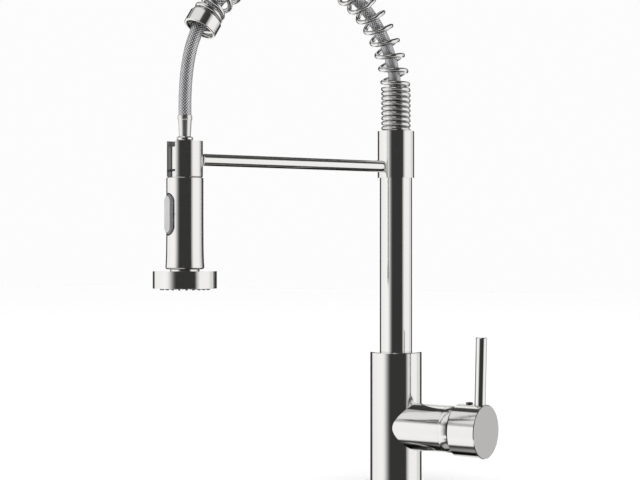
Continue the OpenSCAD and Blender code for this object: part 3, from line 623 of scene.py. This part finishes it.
def handle_shell():
    """Drum-shaped handle, hollow at its inner end, with a hole for its grub screw."""
    drum = turned("handle_shell", [(25.4, 71.1), (25.4, 98.1), (24.8, 98.7), (7.9, 98.7),
                                   (7.9, 77.6), (23.7, 77.6), (23.7, 71.1)], hollow=True)
    join_or_cut(drum, turned("plug", [(8.2, 88.2), (8.2, 98.7)]), "UNION")
    put(drum, BRANCH)
    hole = put(turned("grub_hole", [(3.35, 22.4), (3.35, 27)], 48),
               Matrix.Translation((GRUB_X, 0, BRANCH_Z)))
    join_or_cut(drum, hole)
    # The flat end face takes the darker steel: painted shade
    second_finish(drum, steel_branch, steel_face_painted_shade,
                  lambda face: face.center.x > 0.09865 and face.normal.x > 0.99)
    finish(drum, "handle_cap", steel_branch, 0.18)


def lever_bar():
    """Slim round lever, leaning out slightly, with an eased tip."""
    lever = turned("lever_bar", [(5.2, 9), (5.2, 87.6), (4.6, 88.3)], 96)
    put(lever, Matrix.Translation((LEVER_X, 0, BRANCH_Z)) @ Matrix.Rotation(LEVER_LEAN, 4, "Y"))
    finish(lever, "lever_rod", steel_upright, 0.15)


def column_and_collar():
    """Column tube, and the collar that the docking arm enters."""
    low, high = (corner.z * 1000 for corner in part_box("column_tube"))
    tube = put(turned("spout_column", [(14.2, low), (15.7, low), (15.7, high), (14.2, high)],
                      hollow=True), SPOUT)
    finish(tube, "column_tube", steel_upright, 0.1)
    collar = turned("arm_collar", [(15.73, 298.2), (17.75, 298.2), (17.75, 343.5), (8.03, 343.5),
                                   (8.03, 340.3), (15.73, 340.3)], hollow=True)
    join_or_cut(collar, put(turned("arm_hole", [(5.73, 13), (5.73, 30)], 64), ARM_LINE))
    back = Matrix.Translation((0, 0, COLLAR_SCREW_Z)) @ Matrix.Rotation(-math.pi / 2, 4, "Y")
    join_or_cut(collar, put(turned("screw_hole", [(2.03, 14), (2.03, 20)], 32), back))
    finish(put(collar, SPOUT), "column_collar", steel_upright, 0.25)


def arm_and_cup():
    """Docking arm with its flare at the cup, and the cup, slotted and open at the top."""
    arm = put(turned("arm_bar", [(5.7, 13.7), (5.7, 212.3), (5.95, 213.1), (6.5, 213.9),
                                 (7.9, 215.2)], 96), ARM_LINE)
    join_or_cut(arm, put(turned("cup_clearance", [(16.0, 290), (16.0, 330)]),
                         Matrix.Translation((REACH, 0, 0))))
    finish(put(arm, SPOUT), "arm_rod", steel_arm, 0)
    lip = arc((10.6, 319.6), 1.8, 90, 0, 6)
    # A groove at its foot, its faces painted darker as shade, makes the dark line above the spray head
    cup = turned("docking_cup", [(12.4, CUP_BASE), (15.3, CUP_BASE), (15.3, CUP_BASE + GROOVE),
                                 (16, CUP_BASE + GROOVE), (16, CUP_TOP), (8, CUP_TOP),
                                 (8, 321.4)] + lip, hollow=True)
    deselect()
    middle = (0.014, 0, ARM_Z)
    bpy.ops.mesh.primitive_cube_add(size=1, location=middle)
    slot = bpy.context.object
    bpy.ops.object.mode_set(mode="EDIT")
    # From the cup's axis outwards, and past both of its ends
    bpy.ops.transform.resize(value=(0.028, SLOT_WIDTH, 0.036), center_override=middle)
    bpy.ops.object.mode_set(mode="OBJECT")
    put(slot, Matrix.Identity(4))
    join_or_cut(cup, slot)

    # The slot's walls and the groove take the darker steel: painted shade
    def shade_painted_face(face):
        on_slot = abs(abs(face.center.y) - SLOT_WIDTH / 2) < 0.0002
        in_shaded_groove = face.center.z < (CUP_BASE + GROOVE + 0.05) / 1000
        return in_shaded_groove or (on_slot and abs(face.normal.y) > 0.99 and face.center.x > 0.0)

    second_finish(cup, steel_upright, milled_shaded_steel, shade_painted_face)
    finish(put(cup, HEAD), "dock_cup", steel_upright, 0.12)


def spring_ferrule():
    """Thin cap crimped over the spring's end, open in the middle for the hose."""
    ferrule = turned("spring_ferrule", [(14.5, 0), (15.4, 0), (15.4, 11.2)]
                     + arc((14.6, 11.2), 0.8, 15, 90, 4)
                     + [(13.3, 12), (13.3, 10.5), (14.5, 10.5)], hollow=True)
    end = (ARCH_R + ARCH_R * math.cos(CAP_ANGLE), ARCH_Z + ARCH_R * math.sin(CAP_ANGLE))
    put(ferrule, SPOUT @ Matrix.Translation((end[0], 0, end[1]))
        @ Matrix.Rotation(math.pi - CAP_ANGLE, 4, "Y"))
    finish(ferrule, "spring_end_cap", steel_upright, 0.12)


def hose_end_fittings():
    """Crimp sleeve on the hose and the ringed nut that holds it to the spray head."""
    sleeve = turned("hose_crimp", [(5.4, 325.0), (5.4, 328.6), (5.15, 329.3), (5.2, 330.2),
                                   (5.9, 343.4), (6.3, 344.0), (6.45, 344.6), (6.45, 347.4),
                                   (6.3, 348.0), (5.95, 348.3)], 128)
    finish(put(sleeve, HEAD), "crimp_sleeve", steel_satin, 0)
    bulge = arc((5.1, 327.2), 2.2, -62, 62, 12)
    nut = turned("swivel_nut", [(5.65, 321.3), (6.13, 325.3)] + bulge + [(5.65, 329.2)], 128,
                 hollow=True)
    finish(put(nut, HEAD), "hose_nut", steel_upright, 0)


def spray_shell():
    """Grip of the spray head: straight, flaring to a rounded foot, with a pocket for the toggle."""
    top, base = CUP_BASE - 0.3, CUP_BASE - 81.7
    outline = [(14.5, base), (15.3, base)] + arc((15.3, base + 2), 2, -75, 0, 6)
    outline += [(17.1, base + 5), (16.95, base + 8), (16.8, base + 12), (16.7, base + 16),
                (16.6, base + 24), (16.5, base + 45)]
    outline += arc((15.7, top - 0.8), 0.8, 0, 90, 6)
    outline += [(12.03, top), (12.03, top - 2), (13.43, top - 2), (13.43, top - 13),
                (14.5, top - 13)]
    shell = turned("spray_body", outline, 224, hollow=True)
    join_or_cut(shell, stadium_block("pocket", 16, 37.8, 0.008, 0.022))
    finish(put(shell, HEAD), "head_shell", steel_upright, 0.12)


TOGGLE_Z = 0.260


def stadium_block(name, width, height, near, far):
    """Upright block with round ends, standing out along +X at the toggle (width, height in mm)."""
    deselect()
    bpy.ops.mesh.primitive_cylinder_add(vertices=96, radius=width / 2000, depth=far - near,
                                        location=((near + far) / 2, 0, TOGGLE_Z),
                                        rotation=(0, math.pi / 2, 0))
    block = bpy.context.object
    block.name = name
    block.data.name = name
    put(block, Matrix.Identity(4))
    stretch = (height - width) / 2000
    for way in (1, -1):
        select_where(block, "VERT", lambda vertex: way * (vertex.co.z - TOGGLE_Z) > 0.0001)
        bpy.ops.transform.translate(value=(0, 0, way * stretch))
        bpy.ops.object.mode_set(mode="OBJECT")
    return block


def spray_toggle():
    """Rocker that changes the spray: a flat face with crisp edges, and sides painted darker as shade."""
    button = stadium_block("spray_toggle", 14, 35.8, 0.0152, 0.0165)
    select_where(button, "FACE", lambda face: face.normal.x > 0.9)
    bpy.ops.mesh.inset(thickness=0.00175, depth=0.0014, use_even_offset=True)
    bpy.ops.object.mode_set(mode="OBJECT")
    # The sides take the darker plating: painted shade from the pocket
    second_finish(button, satin_zinc, satin_zinc_painted_shade, lambda face: face.normal.x < 0.9)
    finish(put(button, HEAD), "toggle_button", satin_zinc, 0.1)


body_shell()
flange_ring()
domed_ring()
handle_shell()
lever_bar()
column_and_collar()
arm_and_cup()
spring_ferrule()
hose_end_fittings()
spray_shell()
spray_toggle()
finish(eased_copy("handle_screw", "handle_grub"), "handle_screw", black_oxide, 0.3)
finish(eased_copy("head_neck", "spray_neck"), "head_neck", steel_upright)
finish(eased_copy("spray_disc", "spray_face"), "spray_disc", steel_upright)

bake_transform(hose)
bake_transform(spring)

# ---- Floor, light and background ----

FLOOR_SIZE = 12.0
FLOOR_DROP = 0.0002


def make_floor():
    """Matt white card just below the foot ring, so smooth that it shows no grain."""
    deselect()
    bpy.ops.mesh.primitive_plane_add(size=FLOOR_SIZE, location=(0, 0, -FLOOR_DROP))
    floor = bpy.context.object
    floor.name = "floor"
    material = bpy.data.materials.new("white_card")
    material.use_nodes = True
    tree = material.node_tree
    tree.nodes.clear()
    card = add(tree, "ShaderNodeBsdfDiffuse", {"Color": linear("#FFFFFF"), "Roughness": 0.4})
    add(tree, "ShaderNodeOutputMaterial", {}, {"Surface": card.outputs[0]})
    paint(floor, material)
    floor.visible_glossy = False


# Brightness of the tent's wall by degrees round the object, 0 at the camera and + to the right:
# dark in front, for a dark band down each upright piece, and dark behind, for its dark edges
WALL = [(-180, 0.8), (-171, 0.8), (-167, 0.035), (-137, 0.035), (-129, 0.9), (-72, 1.0),
        (-58, 0.92), (-50, 0.66), (-42, 0.36), (-34, 0.11), (-27, 0.035), (42, 0.035),
        (46, 0.35), (54, 0.72), (60, 0.95), (100, 0.95), (112, 0.7), (128, 0.85),
        (136, 0.035), (167, 0.035), (171, 0.8)]
# Brightness by height, 0 straight down and 1 straight up: a dark line low down on both sides
LEFT_WALL = [(0.0, 0.42), (0.05, 0.46), (0.08, 0.06), (0.105, 0.05), (0.125, 0.95), (0.5, 1.0),
             (0.66, 1.0), (0.69, 0.5), (0.74, 0.5), (0.78, 0.8), (1.0, 0.75)]
RIGHT_WALL = [(0.0, 0.25), (0.07, 0.2), (0.09, 0.05), (0.17, 0.05), (0.195, 0.95), (0.5, 1.0),
              (0.77, 1.0), (0.805, 0.07), (1.0, 0.05)]
# Brightness over the left wall by distance behind, 0, to in front, 1: the branch's upper dark band
LEFT_ROOF = [(0.0, 1.0), (0.19, 1.0), (0.205, 0.06), (0.335, 0.06), (0.36, 0.75), (1.0, 0.9)]
ROOF_START, ROOF_FULL = 0.58, 0.66
# Heights at which light shows all the way round, for level rims and flat tops
OPEN_BANDS = [(0.0, 0.0), (0.20, 0.0), (0.22, 0.9), (0.30, 0.9), (0.32, 0.0), (0.78, 0.0),
              (0.85, 0.9)]
TENT_STRENGTH = 1.45
BACKDROP = "#FCFCFC"


def make_world():
    """A light tent that only reflections see, in front of a plain pale backdrop."""
    world = bpy.data.worlds.new("light_tent")
    bpy.context.scene.world = world
    world.use_nodes = True
    tree = world.node_tree
    tree.nodes.clear()
    place = add(tree, "ShaderNodeTexCoord")
    split = add(tree, "ShaderNodeSeparateXYZ", {}, {"Vector": place.outputs["Generated"]})
    front = -CAMERA_LOOKS
    right = Vector((-front.y, front.x, 0))
    parts = {}
    for name, way in (("front", front), ("right", right)):
        across = add(tree, "ShaderNodeMath", {"operation": "MULTIPLY", 1: way.x},
                     {0: split.outputs["X"]})
        parts[name] = add(tree, "ShaderNodeMath", {"operation": "MULTIPLY_ADD", 1: way.y},
                          {0: split.outputs["Y"], 2: across.outputs[0]})
    angle = add(tree, "ShaderNodeMath", {"operation": "ARCTAN2"},
                {0: parts["right"].outputs[0], 1: parts["front"].outputs[0]})
    turn = add(tree, "ShaderNodeMapRange", {"From Min": -math.pi, "From Max": math.pi},
               {"Value": angle.outputs[0]})
    wall = add(tree, "ShaderNodeValToRGB", {}, {"Fac": turn.outputs[0]})
    set_ramp(wall, [((degrees + 180) / 360, bright) for degrees, bright in WALL])
    lift = add(tree, "ShaderNodeMapRange", {"From Min": -1.0, "From Max": 1.0},
               {"Value": split.outputs["Z"]})
    tall_left = add(tree, "ShaderNodeValToRGB", {}, {"Fac": lift.outputs[0]})
    set_ramp(tall_left, LEFT_WALL)
    depth = add(tree, "ShaderNodeMapRange", {"From Min": -1.0, "From Max": 1.0},
                {"Value": parts["front"].outputs[0]})
    behind = add(tree, "ShaderNodeValToRGB", {}, {"Fac": depth.outputs[0]})
    set_ramp(behind, LEFT_ROOF)
    raised = add(tree, "ShaderNodeMapRange", {"From Min": ROOF_START, "From Max": ROOF_FULL},
                 {"Value": split.outputs["Z"]})
    over_left = add(tree, "ShaderNodeMix", {"data_type": "RGBA"},
                    {0: raised.outputs[0], 6: tall_left.outputs[0], 7: behind.outputs[0]})
    tall_right = add(tree, "ShaderNodeValToRGB", {}, {"Fac": lift.outputs[0]})
    set_ramp(tall_right, RIGHT_WALL)
    side = add(tree, "ShaderNodeMapRange", {"From Min": -0.1, "From Max": 0.1},
               {"Value": parts["right"].outputs[0]})
    tall = add(tree, "ShaderNodeMix", {"data_type": "RGBA"},
               {0: side.outputs[0], 6: over_left.outputs[2], 7: tall_right.outputs[0]})
    open_bands = add(tree, "ShaderNodeValToRGB", {}, {"Fac": lift.outputs[0]})
    set_ramp(open_bands, OPEN_BANDS)
    wrapped = add(tree, "ShaderNodeMix", {"data_type": "RGBA", 7: (1, 1, 1, 1)},
                  {0: open_bands.outputs[0], 6: wall.outputs[0]})
    tent = add(tree, "ShaderNodeMix", {"data_type": "RGBA", "blend_type": "MULTIPLY", 0: 1.0},
               {6: wrapped.outputs[2], 7: tall.outputs[2]})
    lit = add(tree, "ShaderNodeBackground", {"Strength": TENT_STRENGTH},
              {"Color": tent.outputs[2]})
    seen = add(tree, "ShaderNodeBackground", {"Color": linear(BACKDROP), "Strength": 1.0})
    path = add(tree, "ShaderNodeLightPath")
    mixed = add(tree, "ShaderNodeMixShader", {}, {0: path.outputs["Is Glossy Ray"],
                                                  1: seen.outputs[0], 2: lit.outputs[0]})
    add(tree, "ShaderNodeOutputWorld", {}, {"Surface": mixed.outputs[0]})


def softbox(name, at, aim, size, power):
    """Large area light that isn't seen in reflections."""
    data = bpy.data.lights.new(name, "AREA")
    data.size = size
    data.energy = power
    light = bpy.data.objects.new(name, data)
    light.location = at
    light.rotation_euler = (Vector(aim) - Vector(at)).to_track_quat("-Z", "Y").to_euler()
    light.visible_glossy = False
    bpy.context.collection.objects.link(light)


make_floor()
make_world()
softbox("overhead", (0.3, -0.3, 2.6), (0, 0, 0), 2.6, 12)
bpy.context.scene.view_settings.view_transform = "Standard"
